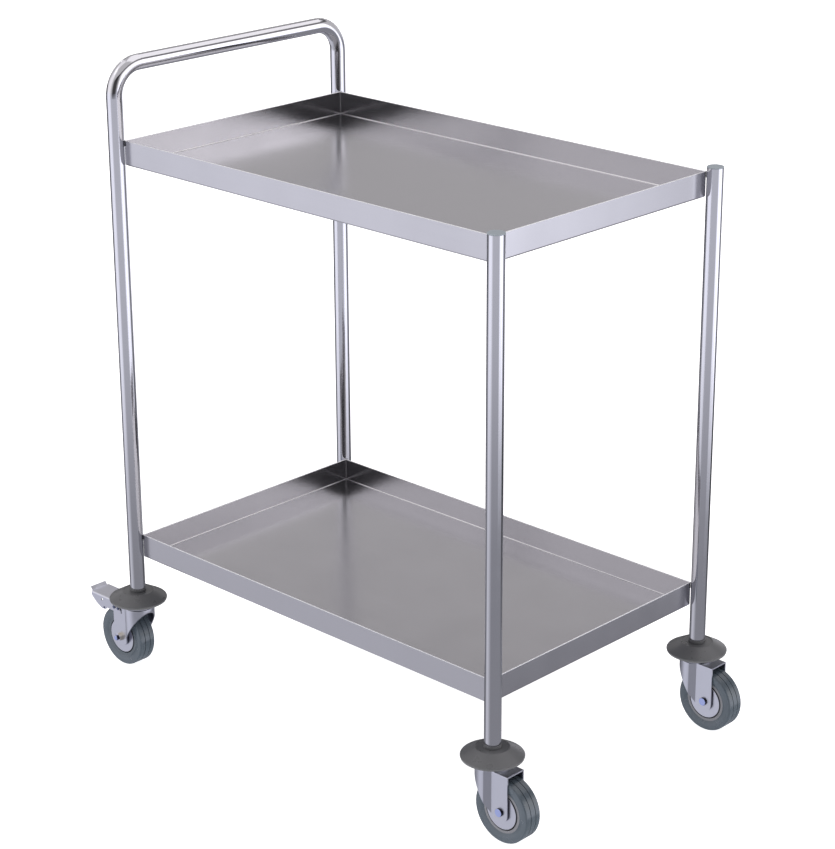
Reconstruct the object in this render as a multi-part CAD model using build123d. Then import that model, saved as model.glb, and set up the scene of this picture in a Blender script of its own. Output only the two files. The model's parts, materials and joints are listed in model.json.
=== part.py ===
from build123d import *

import math
import os

# Two-tray stainless instrument cart on four swivel casters, two of them with wheel brakes.
# Millimetres. +Z is up and the floor is Z = 0. +X runs from the push handle to the open end.
# The origin is on the floor, under the middle of the cart's outer box.

# --- frame tubes -------------------------------------------------------------------------
TUBE_R = 12.7
TUBE_WALL = 1.5
POST_PITCH_X = 792.0
POST_PITCH_Y = 479.5
TUBE_BOTTOM_Z = 121.4
FRONT_POST_TOP_Z = 907.2
HANDLE_AXIS_Z = 1015.7
HANDLE_BEND_R = 48.0
CAP_HEIGHT = 1.6
CAP_DISC_THICKNESS = 0.9
CAP_NECK_STEP = 0.8
CAP_PLUG_LENGTH = 14.0
CAP_RIBS = 4
CAP_RIB_DEPTH = 0.8
CAP_EDGE = 0.4

# --- trays -------------------------------------------------------------------------------
TRAY_LENGTH = 770.0
TRAY_WIDTH = 467.5
TRAY_HEIGHT = 39.2
TRAY_SHEET = 2.0
TRAY_CORNER_R = 3.0
TRAY_FOLD_OUTER_R = 2.6
TRAY_FOLD_INNER_R = 0.8
TRAY_RIM_ROUNDING = 0.7
TRAY_RIM_Z = {"upper_tray": 900.6, "lower_tray": 239.3}
LUG_HEIGHT = 9.0
LUG_WIDTH = 6.0

# --- wheels ------------------------------------------------------------------------------
WHEEL_R = 50.0
TYRE_HALF_WIDTH = 15.2
TYRE_WALL_R = 43.4
TYRE_SHOULDER_R = 46.8
TYRE_SHOULDER_MIDDLE = (49.1, 14.55)
TREAD_HALF_WIDTH = 13.0
TYRE_INNER_R = 34.4
TYRE_WALL_BULGE = 0.6
GROOVE_OFFSET = 5.0
GROOVE_WIDTH = 1.2
GROOVE_DEPTH = 1.2
RIM_RING_INNER_R = 30.3
RIM_RING_HALF_WIDTH = 13.2
HUB_R = 11.5
HUB_HALF_WIDTH = 12.6
WEB_HALF_WIDTH = 5.0
CASTER_TRAIL = 30.4
SLEEVE_R = 7.0
RUNNING_CLEARANCE = 0.06

# --- axle fasteners and thread guards ----------------------------------------------------
AXLE_R = 4.0
AXLE_HOLE_R = 4.1
BOLT_HEAD_R = 6.4
BOLT_HEAD_HEIGHT = 3.4
NUT_ACROSS_FLATS = 13.0
NUT_HEIGHT = 6.0
BOLT_END_Y = 28.0
GUARD_R = 28.3
GUARD_BOSS_R = 9.0
GUARD_INNER_Y = 12.9
GUARD_OUTER_Y = 14.0

# --- fork --------------------------------------------------------------------------------
FORK_HALF_WIDTH = 17.9
FORK_SHEET = 2.0
FORK_TOP_Z = 111.3
CROWN_SHEET = 2.3
CROWN_R = 26.0
FORK_REAR_X = 45.0
FORK_EYE_R = 14.5
FORK_EDGE_ROUNDING = 1.2
NECK_START_X = 5.5
NECK_END_X = 14.4
NECK_SHOULDER_R = 3.0
NECK_ROOT_R = 1.0
FORK_FRONT_DROP = 3.5
FORK_SWOOP_MIDDLE = (-5.2, 75.5)
FORK_SWOOP_FOOT = (14.5, 42.5)
FORK_FOOT_X = 20.5
FORK_FOOT_ROUNDING = 12.0
FORK_SLOT_X = 24.8
FORK_SLOT_WIDTH = 2.2
FORK_SLOT_Z = (93.4, 103.2)

# --- swivel bearing ----------------------------------------------------------------------
STEM_R = 8.0
STEM_PLUG_R = 11.15
STEM_PLUG_LENGTH = 45.0
STEM_FLANGE_R = 13.0
RACE_R = 25.5
RACE_TOP_Z = 119.4
RACE_SHEET = 2.2
RACE_SKIRT_BOTTOM_Z = 111.9
RIVET_HEAD_R = 12.0
BALL_R = 2.55
BALL_CIRCLE_R = 19.0
BALL_COUNT = 18

# --- bumper disc -------------------------------------------------------------------------
BUMPER_R = 47.5
BUMPER_LIP_Z = 123.2
BUMPER_COLLAR_R = 13.4
BUMPER_COLLAR_TOP_Z = 144.1
BUMPER_DISH_R = 23.8
BUMPER_DISH_Z = 138.8
BUMPER_UNDERSIDE_Z = 136.4
BUMPER_SKIRT_R = 17.0

# --- wheel brake -------------------------------------------------------------------------
PEDAL_SHEET = 1.5
PEDAL_BEND_R = 2.4
PEDAL_HALF_WIDTH = 19.6
PEDAL_TOP_Z = 112.8
PEDAL_TIP_X = 99.6
PEDAL_PLATE_START_X = 49.0
PEDAL_REACH = 106.5
PEDAL_LIP_TOP_Z = 117.8
PEDAL_LIP_HALF_WIDTH = 15.5
PEDAL_HOLE_R = 2.2
PEDAL_HOLE_X = 72.2
PEDAL_HOLE_Z = 105.4
PIVOT_X = 40.2
PIVOT_Z = 101.8
PIVOT_R = 2.0
PIVOT_HEAD_R = 2.9
STOP_X = 30.3
STOP_Z = 102.0
STOP_R = 1.5
STOP_HEAD_R = 2.5
STOP_SLOT_DROP = 1.5
BRAKE_BAR_X = 66.8
BRAKE_BAR_Z = 92.4
BRAKE_BAR_R = 1.8
PIN_HEAD_Y = 19.8
PIN_HEAD_HEIGHT = 1.2

# The brake pedals reach further out than the front wheels do, so the tray centre sits
# this far ahead of the middle of the outer box.
TRAY_CENTRE_X = (PEDAL_REACH - CASTER_TRAIL - WHEEL_R) / 2
FRONT_X = TRAY_CENTRE_X + POST_PITCH_X / 2
HANDLE_X = TRAY_CENTRE_X - POST_PITCH_X / 2
SIDE_Y = POST_PITCH_Y / 2

# Caster name: stem X, stem Y, heading in degrees, has a brake.
CASTERS = {
    "front_right": (FRONT_X, -SIDE_Y, 0.0, False),
    "front_left": (FRONT_X, SIDE_Y, 0.0, False),
    "rear_right": (HANDLE_X, -SIDE_Y, 180.0, True),
    "rear_left": (HANDLE_X, SIDE_Y, 180.0, True),
}


# --- helpers -----------------------------------------------------------------------------
def save(name, *solids):
    """Write one node; several solids make one group."""
    shape = solids[0] if len(solids) == 1 else Compound(children=list(solids))
    export_step(shape, f"parts/{name}.step")


def round_bar(radius, bottom, top):
    """Vertical cylinder on the Z axis."""
    return Pos(0, 0, (bottom + top) / 2) * Cylinder(radius, top - bottom)


def cross_bar(radius, x, z, y_from, y_to):
    """Cylinder parallel to Y."""
    bar = Rot(90, 0, 0) * Cylinder(radius, y_to - y_from)
    return Pos(x, (y_from + y_to) / 2, z) * bar


def turned_about_z(points):
    """Solid of revolution about Z from (radius, height) points."""
    face = make_face(Plane.XZ * Polyline(*points, close=True))
    return revolve(face, Axis.Z, 360)


def turned_about_y(points):
    """Solid of revolution about Y from (radius, offset along Y) points."""
    face = make_face(Plane.XY * Polyline(*points, close=True))
    return revolve(face, Axis.Y, 360)


def mirrored_pair(solid):
    """The solid and its mirror image across the caster's middle plane."""
    return [solid, mirror(solid, Plane.XZ)]


def as_solid(shape):
    """The single solid of a shape."""
    found = shape.solids()
    assert len(found) == 1, f"expected one solid, found {len(found)}"
    return found[0]


# --- frame -------------------------------------------------------------------------------
def handle_frame():
    """One tube bent into an inverted U: both rear legs and the push bar between them."""
    side = SIDE_Y - HANDLE_BEND_R
    top = HANDLE_AXIS_Z - HANDLE_BEND_R
    corner = HANDLE_BEND_R * math.sqrt(0.5)
    leg_right = Line((HANDLE_X, -SIDE_Y, TUBE_BOTTOM_Z), (HANDLE_X, -SIDE_Y, top))
    bend_right = ThreePointArc(
        (HANDLE_X, -SIDE_Y, top),
        (HANDLE_X, -side - corner, top + corner),
        (HANDLE_X, -side, HANDLE_AXIS_Z),
    )
    bar = Line((HANDLE_X, -side, HANDLE_AXIS_Z), (HANDLE_X, side, HANDLE_AXIS_Z))
    bend_left = ThreePointArc(
        (HANDLE_X, side, HANDLE_AXIS_Z),
        (HANDLE_X, side + corner, top + corner),
        (HANDLE_X, SIDE_Y, top),
    )
    leg_left = Line((HANDLE_X, SIDE_Y, top), (HANDLE_X, SIDE_Y, TUBE_BOTTOM_Z))
    stretches = (leg_right, bend_right, bar, bend_left, leg_left)
    path = Wire([edge for stretch in stretches for edge in stretch.edges()])
    start = Plane((HANDLE_X, -SIDE_Y, TUBE_BOTTOM_Z), z_dir=(0, 0, 1))
    outer = sweep(start * Circle(TUBE_R), path=path)
    bore = sweep(start * Circle(TUBE_R - TUBE_WALL), path=path)
    return as_solid(outer - bore)


def front_post():
    """Straight tube post, open at both ends."""
    outer = round_bar(TUBE_R, TUBE_BOTTOM_Z, FRONT_POST_TOP_Z)
    bore = round_bar(TUBE_R - TUBE_WALL, TUBE_BOTTOM_Z - 1, FRONT_POST_TOP_Z + 1)
    return as_solid(outer - bore)


def post_cap():
    """Flat plastic cap on a recessed neck, with a ribbed plug inside the tube."""
    plug_r = TUBE_R - TUBE_WALL - 0.1
    core_r = plug_r - CAP_RIB_DEPTH
    base = FRONT_POST_TOP_Z
    top = base + CAP_HEIGHT
    disc_base = top - CAP_DISC_THICKNESS
    neck_r = TUBE_R - CAP_NECK_STEP
    points = [(0, top), (TUBE_R - CAP_EDGE, top), (TUBE_R, top - CAP_EDGE), (TUBE_R, disc_base)]
    points += [(neck_r, disc_base), (neck_r, base), (core_r, base)]
    rib_pitch = CAP_PLUG_LENGTH / CAP_RIBS
    for rib in range(CAP_RIBS):
        upper = base - rib * rib_pitch - 1.2
        points += [(core_r, upper), (plug_r, upper - CAP_EDGE), (core_r, upper - rib_pitch + 1.4)]
    points += [(0, base - CAP_PLUG_LENGTH)]
    return as_solid(turned_about_z(points))


# --- trays -------------------------------------------------------------------------------
def tray(rim_z):
    """Open tray folded from sheet: flat floor and four upright walls."""
    floor_z = rim_z - TRAY_HEIGHT
    outer_plan = RectangleRounded(TRAY_LENGTH, TRAY_WIDTH, TRAY_CORNER_R)
    outer = extrude(Pos(TRAY_CENTRE_X, 0, floor_z) * outer_plan, TRAY_HEIGHT)
    outer = fillet(outer.faces().sort_by(Axis.Z)[0].edges(), TRAY_FOLD_OUTER_R)
    inner_plan = RectangleRounded(
        TRAY_LENGTH - 2 * TRAY_SHEET, TRAY_WIDTH - 2 * TRAY_SHEET, TRAY_CORNER_R - TRAY_SHEET
    )
    inner = extrude(Pos(TRAY_CENTRE_X, 0, floor_z + TRAY_SHEET) * inner_plan, TRAY_HEIGHT)
    inner = fillet(inner.faces().sort_by(Axis.Z)[0].edges(), TRAY_FOLD_INNER_R)
    body = outer - inner
    return as_solid(fillet(body.faces().sort_by(Axis.Z)[-1].edges(), TRAY_RIM_ROUNDING))


def tray_lugs():
    """Weld lugs that join each tray corner to its post, flush with the rim."""
    lugs = []
    reach_x = (POST_PITCH_X - TRAY_LENGTH) / 2
    reach_y = (POST_PITCH_Y - TRAY_WIDTH) / 2
    heading = math.degrees(math.atan2(reach_y, reach_x))
    length = math.hypot(reach_x, reach_y)
    for rim_z in TRAY_RIM_Z.values():
        centre_z = rim_z - LUG_HEIGHT / 2
        tray_block = Pos(TRAY_CENTRE_X, 0, centre_z) * extrude(
            RectangleRounded(TRAY_LENGTH, TRAY_WIDTH, TRAY_CORNER_R), LUG_HEIGHT, both=True
        )
        for sign_x in (1, -1):
            for sign_y in (1, -1):
                post_x = TRAY_CENTRE_X + sign_x * POST_PITCH_X / 2
                post_y = sign_y * POST_PITCH_Y / 2
                turn = heading if sign_x == sign_y else -heading
                bar = Pos(-sign_x * length * 0.6, 0, 0) * Box(length * 0.9, LUG_WIDTH, LUG_HEIGHT)
                bar = Pos(post_x, post_y, centre_z) * Rot(0, 0, turn) * bar
                post = Pos(post_x, post_y, centre_z) * Cylinder(TUBE_R, 3 * LUG_HEIGHT)
                lugs.append(as_solid(bar - post - tray_block))
    return lugs


# --- caster, modelled with its stem on the Z axis and its wheel trailing towards +X -------
def bumper():
    """Hollow cone-shaped bumper disc round the foot of a post, dished round its collar."""
    bore = TUBE_R + 0.05
    foot = TUBE_BOTTOM_Z + 0.2
    points = [
        (bore, BUMPER_COLLAR_TOP_Z),
        (BUMPER_COLLAR_R - 0.2, BUMPER_COLLAR_TOP_Z),
        (BUMPER_COLLAR_R, BUMPER_COLLAR_TOP_Z - 0.3),
        (BUMPER_COLLAR_R, BUMPER_DISH_Z),
        (BUMPER_DISH_R, BUMPER_DISH_Z),
        (BUMPER_DISH_R + 1.0, BUMPER_DISH_Z + 0.9),
        (BUMPER_DISH_R + 1.9, BUMPER_DISH_Z + 0.7),
        (BUMPER_R - 1.3, BUMPER_LIP_Z + 4.5),
        (BUMPER_R - 0.5, BUMPER_LIP_Z + 3.9),
        (BUMPER_R, BUMPER_LIP_Z + 3.0),
        (BUMPER_R, BUMPER_LIP_Z + 2.2),
        (BUMPER_R - 0.7, BUMPER_LIP_Z),
        (BUMPER_R - 2.1, BUMPER_LIP_Z),
        (BUMPER_R - 2.9, BUMPER_LIP_Z + 2.6),
        (BUMPER_DISH_R + 2.0, BUMPER_UNDERSIDE_Z),
        (BUMPER_SKIRT_R, BUMPER_UNDERSIDE_Z),
        (BUMPER_SKIRT_R, foot),
        (bore, foot),
    ]
    return as_solid(turned_about_z(points))


def stem():
    """King pin: expander plug in the tube, flange, plain shaft and riveted lower head."""
    head_top = FORK_TOP_Z - CROWN_SHEET - 0.2
    points = [
        (0, TUBE_BOTTOM_Z + STEM_PLUG_LENGTH),
        (STEM_PLUG_R - 2, TUBE_BOTTOM_Z + STEM_PLUG_LENGTH),
        (STEM_PLUG_R, TUBE_BOTTOM_Z + STEM_PLUG_LENGTH - 4),
        (STEM_PLUG_R, TUBE_BOTTOM_Z),
        (STEM_FLANGE_R, TUBE_BOTTOM_Z),
        (STEM_FLANGE_R, RACE_TOP_Z),
        (STEM_R, RACE_TOP_Z),
        (STEM_R, head_top),
        (RIVET_HEAD_R, head_top),
        (RIVET_HEAD_R, head_top - 2.0),
        (RIVET_HEAD_R - 2.5, head_top - 3.6),
        (0, head_top - 3.6),
    ]
    return as_solid(turned_about_z(points))


def swivel_race():
    """Pressed upper race: an inverted dish over the ball ring, fixed on the stem."""
    under = RACE_TOP_Z - RACE_SHEET
    inner_r = RACE_R - 1.9
    points = [
        (STEM_R + 0.02, RACE_TOP_Z),
        (RACE_R - 2.6, RACE_TOP_Z),
        (RACE_R - 0.8, RACE_TOP_Z - 0.8),
        (RACE_R, RACE_TOP_Z - 2.6),
        (RACE_R, RACE_SKIRT_BOTTOM_Z),
        (inner_r, RACE_SKIRT_BOTTOM_Z),
        (inner_r, under - 0.8),
        (inner_r - 0.8, under),
        (STEM_R + 0.02, under),
    ]
    return as_solid(turned_about_z(points))


def ball_ring():
    """Bearing balls between the race and the fork crown."""
    centre_z = RACE_TOP_Z - RACE_SHEET - BALL_R - 0.02
    balls = []
    for number in range(BALL_COUNT):
        angle = 2 * math.pi * number / BALL_COUNT
        place = Pos(BALL_CIRCLE_R * math.cos(angle), BALL_CIRCLE_R * math.sin(angle), centre_z)
        balls.append(as_solid(place * Sphere(BALL_R)))
    return balls


def fork_plan(inset):
    """Plan outline of the fork: round crown in front, a neck each side, straight cheeks behind."""
    crown_r = CROWN_R - inset
    half = FORK_HALF_WIDTH - inset
    rear = FORK_REAR_X + 20
    neck_y = math.sqrt(crown_r**2 - NECK_START_X**2)
    front = ThreePointArc((NECK_START_X, neck_y), (-crown_r, 0), (NECK_START_X, -neck_y))
    sides = Polyline(
        (NECK_START_X, -neck_y), (NECK_END_X, -half), (rear, -half), (rear, half), (NECK_END_X, half),
        (NECK_START_X, neck_y),
    )
    face = make_face(front + sides)
    shoulders = [v for v in face.vertices() if abs(v.X - NECK_START_X) < 0.01]
    face = fillet(shoulders, NECK_SHOULDER_R - inset)
    roots = [v for v in face.vertices() if abs(v.X - NECK_END_X) < 0.01]
    return fillet(roots, NECK_ROOT_R + inset)


def fork_profile():
    """Side view of the fork: swept-back front edge, upright rear edge, round lower end."""
    low = WHEEL_R - FORK_EYE_R
    front_x = -CROWN_R - 1
    front_top = (front_x, FORK_TOP_Z - FORK_FRONT_DROP)
    swoop = ThreePointArc(front_top, FORK_SWOOP_MIDDLE, FORK_SWOOP_FOOT)
    rest = Polyline(
        FORK_SWOOP_FOOT, (FORK_FOOT_X, low), (FORK_REAR_X, low), (FORK_REAR_X, FORK_TOP_Z),
        (front_x, FORK_TOP_Z), front_top,
    )
    face = make_face(Plane.XZ * (swoop + rest))
    lower = [v for v in face.vertices() if abs(v.Z - low) < 0.01]
    return fillet(lower, FORK_FOOT_ROUNDING)


def fork(braked):
    """Pressed steel fork: crown plate and two cheeks in one sheet, arched open in front."""
    crown_under = FORK_TOP_Z - CROWN_SHEET
    outer = extrude(fork_plan(0.0), FORK_TOP_Z)
    top_edges = outer.faces().sort_by(Axis.Z)[-1].edges()
    outer = fillet(top_edges.filter_by(lambda edge: edge.center().X < FORK_REAR_X), FORK_EDGE_ROUNDING)
    inner = extrude(fork_plan(FORK_SHEET), crown_under)
    profile = extrude(fork_profile(), 2 * CROWN_R, both=True)
    body = (outer - inner) & profile
    body -= round_bar(STEM_R + RUNNING_CLEARANCE, crown_under - 1, FORK_TOP_Z + 1)
    body -= cross_bar(AXLE_HOLE_R, CASTER_TRAIL, WHEEL_R, -30, 30)
    if braked:
        body -= cross_bar(PIVOT_R + 0.02, PIVOT_X, PIVOT_Z, -30, 30)
        body -= cross_bar(STOP_R + 0.02, STOP_X, STOP_Z, -30, 30)
        slot_low, slot_high = FORK_SLOT_Z
        slot = Box(FORK_SLOT_WIDTH, 60, slot_high - slot_low)
        body -= Pos(FORK_SLOT_X, 0, (slot_low + slot_high) / 2) * slot
    return as_solid(body)


def thread_guards():
    """Two flat washers in the wheel's recesses, each with a boss that meets its cheek."""
    cheek_inner_y = FORK_HALF_WIDTH - FORK_SHEET
    points = [
        (AXLE_HOLE_R, GUARD_INNER_Y),
        (GUARD_R, GUARD_INNER_Y),
        (GUARD_R, GUARD_OUTER_Y - 0.3),
        (GUARD_R - 0.3, GUARD_OUTER_Y),
        (GUARD_BOSS_R, GUARD_OUTER_Y),
        (GUARD_BOSS_R, cheek_inner_y),
        (AXLE_HOLE_R, cheek_inner_y),
    ]
    disc = Pos(CASTER_TRAIL, 0, WHEEL_R) * turned_about_y(points)
    return mirrored_pair(as_solid(disc))


def axle_bolt():
    """Axle bolt with a low round head on the -Y side."""
    head_face = -FORK_HALF_WIDTH
    head = cross_bar(BOLT_HEAD_R, CASTER_TRAIL, WHEEL_R, head_face - BOLT_HEAD_HEIGHT, head_face)
    head = fillet(head.faces().sort_by(Axis.Y)[0].edges(), 0.7)
    shank = cross_bar(AXLE_R, CASTER_TRAIL, WHEEL_R, head_face, BOLT_END_Y)
    shank = chamfer(shank.faces().sort_by(Axis.Y)[-1].edges(), 0.7)
    return as_solid(head + shank)


def axle_nut():
    """Hexagon nut on the +Y side, chamfered on its outer face."""
    plan = RegularPolygon(NUT_ACROSS_FLATS / 2, 6, major_radius=False, rotation=30)
    blank = extrude(Rot(90, 0, 0) * plan, NUT_HEIGHT / 2, both=True)
    corner_r = NUT_ACROSS_FLATS / math.sqrt(3)
    half = NUT_HEIGHT / 2
    turned = [(0, -half), (corner_r, -half), (corner_r, half - 0.6), (corner_r - 1.0, half), (0, half)]
    blank = blank & turned_about_y(turned)
    blank -= cross_bar(AXLE_R + 0.02, 0, 0, -NUT_HEIGHT, NUT_HEIGHT)
    return as_solid(Pos(CASTER_TRAIL, FORK_HALF_WIDTH + half, WHEEL_R) * blank)


def axle_sleeve():
    """Plain bearing sleeve clamped between the thread guards; the wheel turns on it."""
    tube = cross_bar(SLEEVE_R, CASTER_TRAIL, WHEEL_R, -GUARD_INNER_Y, GUARD_INNER_Y)
    bore = cross_bar(AXLE_R + 0.05, CASTER_TRAIL, WHEEL_R, -GUARD_INNER_Y - 1, GUARD_INNER_Y + 1)
    return as_solid(tube - bore)


def wheel_core():
    """Moulded wheel centre: hub, web and the ring that carries the tyre."""
    bore = SLEEVE_R + RUNNING_CLEARANCE
    half = [
        (bore, HUB_HALF_WIDTH),
        (HUB_R, HUB_HALF_WIDTH),
        (HUB_R + 1.0, WEB_HALF_WIDTH + 1.5),
        (HUB_R + 2.5, WEB_HALF_WIDTH),
        (RIM_RING_INNER_R - 1.5, WEB_HALF_WIDTH),
        (RIM_RING_INNER_R, WEB_HALF_WIDTH + 1.5),
        (RIM_RING_INNER_R, RIM_RING_HALF_WIDTH),
        (TYRE_INNER_R, RIM_RING_HALF_WIDTH),
    ]
    other_half = [(r, -y) for r, y in reversed(half)]
    return as_solid(Pos(CASTER_TRAIL, 0, WHEEL_R) * turned_about_y(half + other_half))


def tyre():
    """Solid rubber tyre with rounded shoulders and two tread grooves."""
    inner, outer = TYRE_INNER_R, WHEEL_R
    bead, wall, tread = RIM_RING_HALF_WIDTH, TYRE_HALF_WIDTH, TREAD_HALF_WIDTH
    middle_r, middle_y = (inner + TYRE_WALL_R) / 2, wall - TYRE_WALL_BULGE
    turn_r, turn_y = TYRE_SHOULDER_MIDDLE
    edge_in = Line((inner, bead), (inner, -bead))
    tread_line = Line((outer, -tread), (outer, tread))
    outline = edge_in + tread_line
    for side in (-1, 1):
        foot = (inner, side * bead)
        wall_top = (TYRE_WALL_R, side * wall)
        shoulder = (TYRE_SHOULDER_R, side * wall)
        outline += ThreePointArc(foot, (middle_r, side * middle_y), wall_top)
        outline += Line(wall_top, shoulder)
        outline += ThreePointArc(shoulder, (turn_r, side * turn_y), (outer, side * tread))
    ring = revolve(make_face(outline), Axis.Y, 360)
    for sign in (1, -1):
        low = sign * GROOVE_OFFSET - GROOVE_WIDTH / 2
        high = low + GROOVE_WIDTH
        floor = outer - GROOVE_DEPTH
        groove = turned_about_y([(floor, low), (outer + 1, low), (outer + 1, high), (floor, high)])
        ring -= groove
    return as_solid(Pos(CASTER_TRAIL, 0, WHEEL_R) * ring)


# --- wheel brake -------------------------------------------------------------------------
def pedal_flange_outline():
    """Side view of a pedal flange: stop slot end, pivot, brake bar notch and raised tip."""
    points = [
        (PEDAL_TIP_X, PEDAL_TOP_Z),
        (50.0, PEDAL_TOP_Z),
        (STOP_X - 4.2, STOP_Z + 4.6),
        (STOP_X - 4.2, STOP_Z - 4.4),
        (PIVOT_X - 1.0, 93.8),
        (59.5, 94.0),
        (64.0, 89.6),
        (74.0, 89.0),
        (87.5, 96.0),
        (PEDAL_TIP_X - 0.6, 105.4),
        (PEDAL_TIP_X, 107.0),
    ]
    face = make_face(Plane.XZ * Polyline(*points, close=True))
    inner_end = [v for v in face.vertices() if v.X < STOP_X]
    face = fillet(inner_end, 3.6)
    lower = [v for v in face.vertices() if 60 < v.X < 95 and v.Z < 97]
    return fillet(lower, 3.0)


def brake_pedal():
    """Foot pedal: a channel astride the wheel with a raised lip at its tip."""
    flange_inner = PEDAL_HALF_WIDTH - PEDAL_SHEET
    block = extrude(pedal_flange_outline(), PEDAL_HALF_WIDTH, both=True)
    highest = [e for e in block.edges() if abs(e.center().Z - PEDAL_TOP_Z) < 0.01]
    top_edges = [e for e in highest if abs(abs(e.center().Y) - PEDAL_HALF_WIDTH) < 0.01]
    block = fillet(top_edges, PEDAL_BEND_R)
    hollow_top = PEDAL_TOP_Z - PEDAL_SHEET
    hollow = Pos(70, 0, hollow_top - 30) * Box(120, 2 * flange_inner, 60)
    crown_gap = Pos(PEDAL_PLATE_START_X - 30, 0, 100) * Box(60, 2 * flange_inner, 60)
    body = block - hollow - crown_gap
    lip_points = [
        (97.0, PEDAL_TOP_Z - PEDAL_SHEET),
        (101.6, PEDAL_TOP_Z - PEDAL_SHEET),
        (PEDAL_REACH, PEDAL_LIP_TOP_Z - 0.9),
        (PEDAL_REACH - 1.1, PEDAL_LIP_TOP_Z),
        (100.8, PEDAL_TOP_Z),
        (97.0, PEDAL_TOP_Z),
    ]
    lip_face = make_face(Plane.XZ * Polyline(*lip_points, close=True))
    body += extrude(lip_face, PEDAL_LIP_HALF_WIDTH, both=True)
    body -= cross_bar(PEDAL_HOLE_R, PEDAL_HOLE_X, PEDAL_HOLE_Z, -30, 30)
    body -= cross_bar(PIVOT_R + RUNNING_CLEARANCE, PIVOT_X, PIVOT_Z, -30, 30)
    body -= cross_bar(BRAKE_BAR_R + 0.02, BRAKE_BAR_X, BRAKE_BAR_Z, -30, 30)
    for drop in (0.0, STOP_SLOT_DROP / 2, STOP_SLOT_DROP):
        body -= cross_bar(STOP_R + 0.3, STOP_X, STOP_Z - drop, -30, 30)
    return as_solid(body)


def headed_pin(radius, head_r, x, z):
    """Cross pin with a flat rivet head at each end."""
    pin = cross_bar(radius, x, z, -PIN_HEAD_Y, PIN_HEAD_Y)
    for head in mirrored_pair(cross_bar(head_r, x, z, PIN_HEAD_Y, PIN_HEAD_Y + PIN_HEAD_HEIGHT)):
        pin += head
    return as_solid(pin)


def brake_bar():
    """Cross bar under the pedal that presses on the tread."""
    reach = PEDAL_HALF_WIDTH + 0.4
    return as_solid(cross_bar(BRAKE_BAR_R, BRAKE_BAR_X, BRAKE_BAR_Z, -reach, reach))


# --- build and write ---------------------------------------------------------------------
def write_caster(name, place, braked):
    """Write every node of one caster except its balls, moved to its post."""
    save(f"bumper_{name}", place * bumper())
    save(f"stem_{name}", place * stem())
    save(f"swivel_race_{name}", place * swivel_race())
    save(f"fork_{name}", place * fork(braked))
    save(f"thread_guards_{name}", *[place * guard for guard in thread_guards()])
    save(f"axle_bolt_{name}", place * axle_bolt())
    save(f"axle_nut_{name}", place * axle_nut())
    save(f"axle_sleeve_{name}", place * axle_sleeve())
    save(f"wheel_core_{name}", place * wheel_core())
    save(f"tyre_{name}", place * tyre())
    if braked:
        save(f"brake_pedal_{name}", place * brake_pedal())
        save(f"brake_bar_{name}", place * brake_bar())
        save(f"pedal_pivot_pin_{name}", place * headed_pin(PIVOT_R, PIVOT_HEAD_R, PIVOT_X, PIVOT_Z))
        save(f"pedal_stop_pin_{name}", place * headed_pin(STOP_R, STOP_HEAD_R, STOP_X, STOP_Z))


os.makedirs("parts", exist_ok=True)
save("handle_frame", handle_frame())
for side_name, side_y in (("right", -SIDE_Y), ("left", SIDE_Y)):
    save(f"front_post_{side_name}", Pos(FRONT_X, side_y, 0) * front_post())
    save(f"post_cap_{side_name}", Pos(FRONT_X, side_y, 0) * post_cap())
for tray_name, tray_rim_z in TRAY_RIM_Z.items():
    save(tray_name, tray(tray_rim_z))
save("tray_weld_lugs", *tray_lugs())
all_balls = []
for caster_name, (stem_x, stem_y, heading_deg, has_brake) in CASTERS.items():
    caster_place = Pos(stem_x, stem_y, 0) * Rot(0, 0, heading_deg)
    write_caster(caster_name, caster_place, has_brake)
    all_balls += [caster_place * ball for ball in ball_ring()]
save("swivel_balls", *all_balls)
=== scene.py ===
import json
import math

import bmesh
import bpy
from mathutils import Euler, Matrix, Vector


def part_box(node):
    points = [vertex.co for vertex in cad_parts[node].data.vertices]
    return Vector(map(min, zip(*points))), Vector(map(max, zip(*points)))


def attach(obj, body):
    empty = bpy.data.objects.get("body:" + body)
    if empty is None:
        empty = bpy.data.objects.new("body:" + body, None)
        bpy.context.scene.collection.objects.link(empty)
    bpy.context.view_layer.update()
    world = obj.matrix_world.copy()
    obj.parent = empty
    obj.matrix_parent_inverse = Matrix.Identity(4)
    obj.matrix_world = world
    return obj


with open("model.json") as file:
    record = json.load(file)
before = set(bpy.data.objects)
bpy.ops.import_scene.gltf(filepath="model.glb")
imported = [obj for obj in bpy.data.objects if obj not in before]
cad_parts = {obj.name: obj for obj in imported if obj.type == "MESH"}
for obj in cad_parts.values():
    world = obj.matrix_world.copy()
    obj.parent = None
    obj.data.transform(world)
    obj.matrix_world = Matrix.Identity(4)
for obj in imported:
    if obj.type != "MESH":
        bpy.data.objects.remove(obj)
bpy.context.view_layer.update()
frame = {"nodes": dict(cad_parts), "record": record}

# ------------------------------------------------------------------ named values, metres
CAMERA_PLACE = (2.49292, -2.55189, 1.80549)
CAMERA_TILT_DEG = 69.761
CAMERA_TURN_DEG = 43.546
CAMERA_ROLL_DEG = -0.105
CAMERA_LENS_MM = 102.72
CAMERA_SENSOR_MM = 36.0
CAMERA_SHIFT = (-0.02036, -0.01855)

WHITE = (1.0, 1.0, 1.0, 1.0)
FLOOR_SIZE = 60.0
FLOOR_COLOUR = (0.93, 0.93, 0.935)
FLOOR_ROUGHNESS = 0.9
FLOOR_GLOW = 0.9

# Brightness of the studio between the soft boxes, and the least brightness anywhere.
STUDIO_GREY = 0.58
DARKEST = 0.04
# The half width of a soft box that goes all the way round, and the elevation of a pole.
ALL_ROUND = 180
POLE = 90
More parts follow.
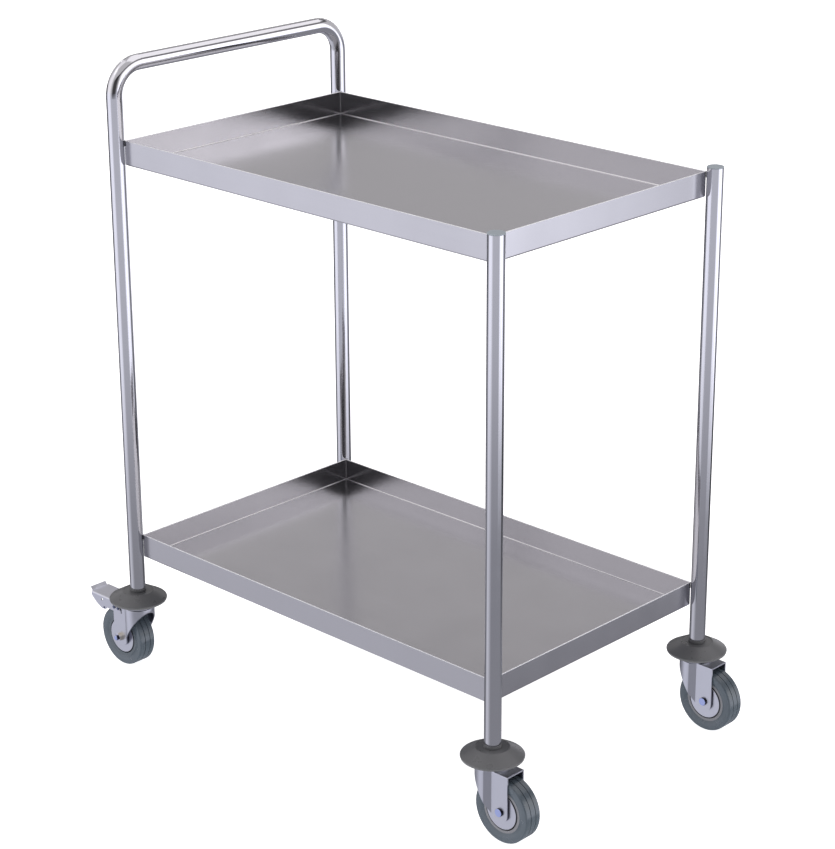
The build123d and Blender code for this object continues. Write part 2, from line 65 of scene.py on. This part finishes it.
# Soft boxes of the studio, as the object sees them: azimuth of the middle, half width,
# lowest and highest elevation, softness of the sides and of the top and bottom edges (all in
# degrees), then the brightness added to the grey. A negative one makes a dark screen.
SOFT_BOXES = {
    "left_wall": (-124, 26, -20, 60, 15, 3, 0.50),
    "left_floor": (-155, 45, -60, -19.5, 34, 4, 0.37),
    "floor_side": (0, ALL_ROUND, -POLE, -20.5, 0, 4, -0.30),
    "right_wall": (24, 27, -20.5, 23, 6, 3, 0.85),
    "right_low": (40, 10, -20, -6, 3, 3, 0.28),
    "tread_panel": (44, 6, -6, 22, 2, 2, 0.45),
    "ceiling": (85, 60, 41, POLE, 8, 3, 0.55),
    "ceiling_left": (-150, 40, 44, POLE, 10, 5, 0.40),
    "under_ceiling": (60, 115, 30, 39, 8, 3, -0.46),
    "floor_dim": (141, 12, 9, 19, 8, 4, -0.08),
    "back_wall": (108, 8, -20, 8, 10, 4, 0.30),
    "rim_strip": (165, 3, 26, 36, 2, 2, 1.8),
    "camera_side": (-46, 24, -6, 35, 14, 6, -0.52),
    "rear_screen": (165, 44, -30, 6, 12, 4, -0.46),
    "right_gap": (76, 16, -24, -4, 7, 4, -0.36),
}
# The light from low down is a little cooler than the light from high up. One gives way to
# the other round the horizon, over this much of the direction's height either way.
LOW_LIGHT = (0.965, 0.97, 1.07)
HIGH_LIGHT = (1.01, 0.985, 1.0)
LIGHT_CHANGE = 0.1

# The tray's sheet, as in the CAD, and what is added to it. The foot of the near-white strip along the
# rim, a painted highlight line, is sunk into the rim, and its crown stands on that foot.
SHEET_THICKNESS = 0.002
CREASE_RADIUS = 0.0012
CREASE_STEPS = 6
EDGE_WIDTH = 0.0021
EDGE_SINK = 0.0004
EDGE_CROWN = 0.0006
EDGE_STEPS = 8
# Corners of a tray going round: whether each is at the high end in x and in y.
TRAY_CORNERS = ((0, 0), (1, 0), (1, 1), (0, 1))

# Fineness of the finishes' patterns, in waves per metre.
BRUSH_LENGTH_SCALE = 8.0
BRUSH_WIDTH_SCALE = 2600.0
SHEET_CLOUD_SCALE = 9.0
BELT_LINE_SCALE = (60.0, 60.0, 2200.0)
SMEAR_SCALE = 14.0
ZINC_CLOUD_SCALE = 45.0
ZINC_GRAIN_SCALE = 1500.0
TURNING_MARK_SCALE = (700.0, 90.0, 700.0)
PLASTIC_CLOUD_SCALE = 60.0
PLASTIC_GRAIN_SCALE = 2500.0
TYRE_GRAIN_SCALE = 1800.0
NOISE_ROUGHNESS = 0.55

# The part of a pattern's values over which the roughness goes from its low to its high.
BRUSH_SPREAD = (0.7, 1.3)
SMEAR_SPREAD = (0.35, 0.7)
CLOUD_SPREAD = (0.3, 0.7)
# How far a face's normal lies along the fastener's axis when its tint turns to the end tint.
END_FACE_SPREAD = (0.45, 0.75)

# How much a pattern darkens or lightens its finish's colour.
STEEL_SHADE = 0.96
PLATE_SHADE = 0.93
FASTENER_SHADE = 0.9
PLASTIC_SHADE = 1.1

TYRE_GLOSS = {"Coat Weight": 0.3, "Coat Roughness": 0.1}


# ------------------------------------------------------------------ node helpers
class Graph:
    """Adds nodes and links to one node tree."""

    def __init__(self, tree):
        self.tree = tree

    def node(self, kind, inputs=None, **settings):
        made = self.tree.nodes.new(kind)
        for key, value in settings.items():
            setattr(made, key, value)
        for key, value in (inputs or {}).items():
            self.feed(made.inputs[key], value)
        return made

    def feed(self, socket, value):
        """Link another node's socket, or set a plain value."""
        if isinstance(value, bpy.types.NodeSocket):
            self.tree.links.new(value, socket)
        else:
            socket.default_value = value

    def maths(self, operation, a, b=0.0):
        made = self.node("ShaderNodeMath", {0: a, 1: b}, operation=operation)
        return made.outputs[0]

    def ramp(self, value, low, high, to_low=0.0, to_high=1.0):
        """Map value smoothly from low..high to to_low..to_high."""
        limits = {"From Min": low, "From Max": high, "To Min": to_low, "To Max": to_high}
        made = self.node(
            "ShaderNodeMapRange",
            {"Value": value, **limits},
            interpolation_type="SMOOTHSTEP",
        )
        return made.outputs["Result"]

    def noise(self, place, scale, detail):
        made = self.node(
            "ShaderNodeTexNoise",
            {"Vector": place, "Scale": scale, "Detail": detail, "Roughness": NOISE_ROUGHNESS},
        )
        return made.outputs["Fac"]

    def stretched_noise(self, place, scale, detail):
        """Noise with a different scale along each axis."""
        return self.noise(self.stretched(place, scale), 1.0, detail)

    def stretched(self, place, scale):
        """The place scaled by a different amount along each axis."""
        made = self.node("ShaderNodeVectorMath", {0: place, 1: scale}, operation="MULTIPLY")
        return made.outputs["Vector"]

    def height_of(self, direction):
        return self.node("ShaderNodeSeparateXYZ", {0: direction}).outputs["Z"]

    def mix_colour(self, amount, a, b):
        made = self.node("ShaderNodeMix", data_type="RGBA", blend_type="MIX")
        self.feed(made.inputs["Factor"], amount)
        self.feed(made.inputs["A"], a)
        self.feed(made.inputs["B"], b)
        return made.outputs["Result"]

    def bump(self, height, strength, distance):
        inputs = {"Height": height, "Strength": strength, "Distance": distance}
        return self.node("ShaderNodeBump", inputs).outputs["Normal"]


def rgba(colour, shade=1.0):
    """The colour made darker or lighter by the shade, with full alpha."""
    return (*(c * shade for c in colour), 1.0)


def new_material(name, **shader_values):
    """A material with one Principled shader; returns it with its graph, shader and place."""
    material = bpy.data.materials.new(name)
    material.use_nodes = True
    graph = Graph(material.node_tree)
    shader = material.node_tree.nodes["Principled BSDF"]
    for key, value in shader_values.items():
        shader.inputs[key].default_value = value
    place = graph.node("ShaderNodeTexCoord").outputs["Object"]
    return material, graph, shader, place


# ------------------------------------------------------------------ materials
def satin_steel(name, colour, low, high, along, depth=0.03):
    """Brushed stainless sheet; along is the direction of the brushing."""
    material, graph, shader, place = new_material(name, Metallic=1.0)
    scale = tuple(BRUSH_LENGTH_SCALE if axis == along else BRUSH_WIDTH_SCALE for axis in "XYZ")
    brushed = graph.stretched_noise(place, scale, detail=3.0)
    clouds = graph.noise(place, SHEET_CLOUD_SCALE, detail=3.0)
    wear = graph.maths("ADD", brushed, clouds)
    tint = graph.mix_colour(brushed, rgba(colour), rgba(colour, STEEL_SHADE))
    graph.feed(shader.inputs["Roughness"], graph.ramp(wear, *BRUSH_SPREAD, low, high))
    graph.feed(shader.inputs["Base Color"], tint)
    graph.feed(shader.inputs["Normal"], graph.bump(brushed, strength=depth, distance=0.0002))
    return material


def polished_steel(name, colour, low, high):
    """Polished stainless tube with faint lines from the polishing belt."""
    material, graph, shader, place = new_material(name, Metallic=1.0)
    lines = graph.stretched_noise(place, BELT_LINE_SCALE, detail=2.0)
    smears = graph.noise(place, SMEAR_SCALE, detail=4.0)
    tint = graph.mix_colour(lines, rgba(colour), rgba(colour, STEEL_SHADE))
    graph.feed(shader.inputs["Roughness"], graph.ramp(smears, *SMEAR_SPREAD, low, high))
    graph.feed(shader.inputs["Base Color"], tint)
    graph.feed(shader.inputs["Normal"], graph.bump(lines, strength=0.02, distance=0.0001))
    return material


def zinc_colour(graph, place, colour, shade):
    """Zinc plate clouded a little darker in places; returns the colour and the clouds."""
    clouds = graph.noise(place, ZINC_CLOUD_SCALE, detail=3.0)
    return graph.mix_colour(clouds, rgba(colour), rgba(colour, shade)), clouds


def zinc_plate(name, colour, low, high):
    """Bright zinc plated pressed steel: smooth, with faint clouds and a very fine grain."""
    material, graph, shader, place = new_material(name, Metallic=1.0)
    tint, clouds = zinc_colour(graph, place, colour, PLATE_SHADE)
    grain = graph.noise(place, ZINC_GRAIN_SCALE, detail=2.0)
    graph.feed(shader.inputs["Roughness"], graph.ramp(clouds, *CLOUD_SPREAD, low, high))
    graph.feed(shader.inputs["Base Color"], tint)
    graph.feed(shader.inputs["Normal"], graph.bump(grain, strength=0.006, distance=0.0001))
    return material


def zinc_fastener(name, colour, painted_side_colour, low, high):
    """Passivated zinc on a fastener: the zinc tint on the end faces, and round the sides a painted
    colour for how light falls there.
    """
    material, graph, shader, place = new_material(name, Metallic=1.0)
    end_tint, clouds = zinc_colour(graph, place, colour, FASTENER_SHADE)
    normal = graph.node("ShaderNodeTexCoord").outputs["Normal"]
    along_axis = graph.node("ShaderNodeSeparateXYZ", {0: normal}).outputs["Y"]
    on_end = graph.ramp(graph.maths("ABSOLUTE", along_axis), *END_FACE_SPREAD)
    # Painted light round the sides: near-black painted shade on the bolt and pin, a pale cream painted
    # sheen on the nut.
    tint = graph.mix_colour(on_end, rgba(painted_side_colour), end_tint)
    marks = graph.stretched_noise(place, TURNING_MARK_SCALE, detail=2.0)
    graph.feed(shader.inputs["Roughness"], graph.ramp(clouds, *CLOUD_SPREAD, low, high))
    graph.feed(shader.inputs["Base Color"], tint)
    graph.feed(shader.inputs["Normal"], graph.bump(marks, strength=0.03, distance=0.0002))
    return material


def moulded_plastic(
    name, colour, low, high, grain_scale=PLASTIC_GRAIN_SCALE, grain_depth=0.06, **gloss
):
    """Moulded plastic or rubber with a fine spark-eroded grain, and a gloss if one is given."""
    material, graph, shader, place = new_material(name, **gloss)
    grain = graph.noise(place, grain_scale, detail=2.0)
    clouds = graph.noise(place, PLASTIC_CLOUD_SCALE, detail=3.0)
    tint = graph.mix_colour(clouds, rgba(colour), rgba(colour, PLASTIC_SHADE))
    graph.feed(shader.inputs["Roughness"], graph.ramp(clouds, *CLOUD_SPREAD, low, high))
    graph.feed(shader.inputs["Base Color"], tint)
    graph.feed(shader.inputs["Normal"], graph.bump(grain, strength=grain_depth, distance=0.0003))
    return material


# One finish for each material slot of the CAD: its colour, then its lowest and highest roughness. A
# fastener has two colours, for its ends and for its sides; the side colour is painted light. The crease
# and rim finishes aren't slots of the CAD: they are for the pieces added to the trays, and their pale
# colours are painted highlights.
FINISHES = {
    "tube_steel": polished_steel("polished_tube", (0.75, 0.75, 0.79), 0.07, 0.11),
    "tray_steel": satin_steel("brushed_sheet", (0.565, 0.56, 0.585), 0.17, 0.23, "X", 0.012),
    # Painted highlights: a pale bead in each tray's inside crease, and a near-white strip along each
    # rim.
    "crease_highlight_steel": satin_steel("crease_painted_highlight", (0.82, 0.81, 0.83), 0.3, 0.38, "Z", 0.01),
    "rim_highlight_steel": satin_steel("rim_highlight_strip", (0.95, 0.95, 0.98), 0.42, 0.5, "Z", 0.01),
    "weld_steel": satin_steel("weld_metal", (0.20, 0.20, 0.23), 0.3, 0.45, "Z"),
    "cap_plastic": moulded_plastic("cap_plastic", (0.36, 0.41, 0.45), 0.35, 0.5),
    "bumper_plastic": moulded_plastic("bumper_plastic", (0.128, 0.131, 0.137), 0.27, 0.36),
    "fork_steel": zinc_plate("fork_zinc", (0.69, 0.70, 0.77), 0.28, 0.36),
    "ball_steel": polished_steel("ball_steel", (0.75, 0.75, 0.76), 0.05, 0.1),
    # The fasteners' side colours are painted light: painted shade on the bolt and the pin, a pale
    # painted sheen on the nut.
    "bolt_zinc": zinc_fastener("blue_zinc", (0.52, 0.60, 0.98), (0.05, 0.05, 0.07), 0.22, 0.34),
    "nut_zinc": zinc_fastener("pale_zinc", (0.70, 0.71, 0.86), (0.86, 0.80, 0.68), 0.15, 0.25),
    "pin_steel": zinc_fastener("dark_pin", (0.13, 0.15, 0.24), (0.05, 0.05, 0.08), 0.3, 0.42),
    "wheel_plastic": moulded_plastic("wheel_plastic", (0.20, 0.205, 0.225), 0.35, 0.5),
    "core_rubber": moulded_plastic("core_rubber", (0.085, 0.105, 0.126), 0.35, 0.5),
    "tyre_rubber": moulded_plastic(
        "tyre_rubber", (0.078, 0.100, 0.122), 0.2, 0.28, TYRE_GRAIN_SCALE, 0.04, **TYRE_GLOSS
    ),
}


def dress_cad_nodes():
    """Give every CAD node the finish that its material slot names."""
    for row in frame["record"]["subparts"]:
        node = frame["nodes"][row["node"]]
        finish = FINISHES[row["material_slot"]]
        if not node.material_slots:
            node.data.materials.append(finish)
        for material_slot in node.material_slots:
            material_slot.material = finish


# ------------------------------------------------------------------ tray creases and rims, with painted highlight lines
def make_loop(name, tray_name, profile, finish):
    """Sweep a closed profile round a tray; its points are insets from the outer walls, and heights."""
    low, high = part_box(tray_name)
    points = []
    for inset, height in profile:
        across_x = (low[0] + inset, high[0] - inset)
        across_y = (low[1] + inset, high[1] - inset)
        points += [(across_x[x_end], across_y[y_end], height) for x_end, y_end in TRAY_CORNERS]
    faces = []
    count = len(TRAY_CORNERS)
    for step in range(len(profile)):
        ring = step * count
        next_ring = (step + 1) % len(profile) * count
        for corner in range(count):
            beside = (corner + 1) % count
            faces.append((ring + corner, ring + beside, next_ring + beside, next_ring + corner))
    mesh = bpy.data.meshes.new(name)
    mesh.from_pydata(points, [], faces)
    work = bmesh.new()
    work.from_mesh(mesh)
    bmesh.ops.recalc_face_normals(work, faces=work.faces)
    work.to_mesh(mesh)
    work.free()
    mesh.materials.append(FINISHES[finish])
    loop = bpy.data.objects.new(name, mesh)
    bpy.context.scene.collection.objects.link(loop)
    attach(loop, "root")


def make_crease(tray_name):
    """Concave bead in the inside corner between a tray's floor and its walls, pale in colour: a painted
    highlight along the fold.
    """
    floor_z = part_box(tray_name)[0][2] + SHEET_THICKNESS
    profile = [(SHEET_THICKNESS, floor_z)]
    for step in range(CREASE_STEPS + 1):
        turn = math.radians(90 * step / CREASE_STEPS)
        inset = CREASE_RADIUS * (1 - math.cos(turn))
        rise = CREASE_RADIUS * (1 - math.sin(turn))
        profile.append((SHEET_THICKNESS + inset, floor_z + rise))
    make_loop(f"{tray_name}_crease", tray_name, profile, "crease_highlight_steel")


def make_rim_highlight_strip(tray_name):
    """Near-white strip along the top of a tray's walls, crowned across its width: a painted highlight
    line on the rim.
    """
    foot_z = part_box(tray_name)[1][2] - EDGE_SINK
    profile = []
    for step in range(EDGE_STEPS + 1):
        turn = math.radians(180 * step / EDGE_STEPS)
        inset = SHEET_THICKNESS / 2 - EDGE_WIDTH / 2 * math.cos(turn)
        profile.append((inset, foot_z + EDGE_CROWN * math.sin(turn)))
    make_loop(f"{tray_name}_rim_highlight_strip", tray_name, profile, "rim_highlight_steel")


# ------------------------------------------------------------------ studio
def make_floor():
    """Plain pale floor whose own glow leaves no shadow on it; no reflection shows it."""
    mesh = bpy.data.meshes.new("floor")
    half = FLOOR_SIZE / 2
    corners = [(-half, -half, 0.0), (half, -half, 0.0), (half, half, 0.0), (-half, half, 0.0)]
    mesh.from_pydata(corners, [], [(0, 1, 2, 3)])
    floor = bpy.data.objects.new("floor", mesh)
    bpy.context.scene.collection.objects.link(floor)
    floor.visible_glossy = False
    material, _, shader, _ = new_material("floor", Roughness=FLOOR_ROUGHNESS)
    shader.inputs["Base Color"].default_value = rgba(FLOOR_COLOUR)
    shader.inputs["Emission Color"].default_value = WHITE
    shader.inputs["Emission Strength"].default_value = FLOOR_GLOW
    mesh.materials.append(material)


def soft_box_mask(graph, direction, level, azimuth, half_width, low, high, side_soft, edge_soft):
    """1 inside one soft box and 0 outside it, with soft edges; level is the direction's flat length."""
    height = graph.height_of(direction)
    mask = 1.0
    if half_width < ALL_ROUND:
        turn = math.radians(azimuth)
        facing = graph.node(
            "ShaderNodeVectorMath",
            {0: direction, 1: (math.cos(turn), math.sin(turn), 0.0)},
            operation="DOT_PRODUCT",
        ).outputs["Value"]
        across = graph.maths("DIVIDE", facing, level)
        outer, inner = (math.cos(math.radians(half_width + side * side_soft)) for side in (1, -1))
        mask = graph.ramp(across, outer, inner)
    for edge, below, above in ((low, 0.0, 1.0), (high, 1.0, 0.0)):
        if abs(edge) < POLE:
            start, end = (math.sin(math.radians(edge + side * edge_soft)) for side in (-1, 1))
            mask = graph.maths("MULTIPLY", graph.ramp(height, start, end, below, above), mask)
    return mask


def make_world():
    """A grey studio with soft boxes, seen as plain white by the camera itself."""
    world = bpy.data.worlds.new("studio")
    bpy.context.scene.world = world
    world.use_nodes = True
    graph = Graph(world.node_tree)
    background = world.node_tree.nodes["Background"]
    output = world.node_tree.nodes["World Output"]
    direction = graph.node("ShaderNodeTexCoord").outputs["Generated"]
    flat = graph.stretched(direction, (1.0, 1.0, 0.0))
    level = graph.node("ShaderNodeVectorMath", {0: flat}, operation="LENGTH").outputs["Value"]
    brightness = STUDIO_GREY
    for *shape, strength in SOFT_BOXES.values():
        mask = soft_box_mask(graph, direction, level, *shape)
        brightness = graph.maths("ADD", brightness, graph.maths("MULTIPLY", mask, strength))
    brightness = graph.maths("MAXIMUM", brightness, DARKEST)
    from_high = graph.ramp(graph.height_of(direction), -LIGHT_CHANGE, LIGHT_CHANGE)
    tint = graph.mix_colour(from_high, rgba(LOW_LIGHT), rgba(HIGH_LIGHT))
    graph.feed(background.inputs["Color"], tint)
    graph.feed(background.inputs["Strength"], brightness)
    backdrop = graph.node("ShaderNodeBackground", {"Color": WHITE, "Strength": 1.0})
    seen = graph.node("ShaderNodeLightPath").outputs["Is Camera Ray"]
    shaders = {0: seen, 1: background.outputs[0], 2: backdrop.outputs[0]}
    graph.feed(output.inputs["Surface"], graph.node("ShaderNodeMixShader", shaders).outputs[0])


def make_camera():
    """The camera at the photograph's viewpoint."""
    data = bpy.data.cameras.new("camera")
    data.lens = CAMERA_LENS_MM
    data.sensor_width = CAMERA_SENSOR_MM
    data.shift_x, data.shift_y = CAMERA_SHIFT
    camera = bpy.data.objects.new("camera", data)
    camera.location = CAMERA_PLACE
    aim = Euler((math.radians(CAMERA_TILT_DEG), 0.0, math.radians(CAMERA_TURN_DEG))).to_matrix()
    roll = Matrix.Rotation(math.radians(CAMERA_ROLL_DEG), 3, "Z")
    camera.rotation_euler = (aim @ roll).to_euler()
    bpy.context.scene.collection.objects.link(camera)
    bpy.context.scene.camera = camera


make_camera()
make_world()
make_floor()
dress_cad_nodes()
for tray in ("upper_tray", "lower_tray"):
    make_crease(tray)
    make_rim_highlight_strip(tray)
bpy.context.scene.view_settings.view_transform = "Standard"
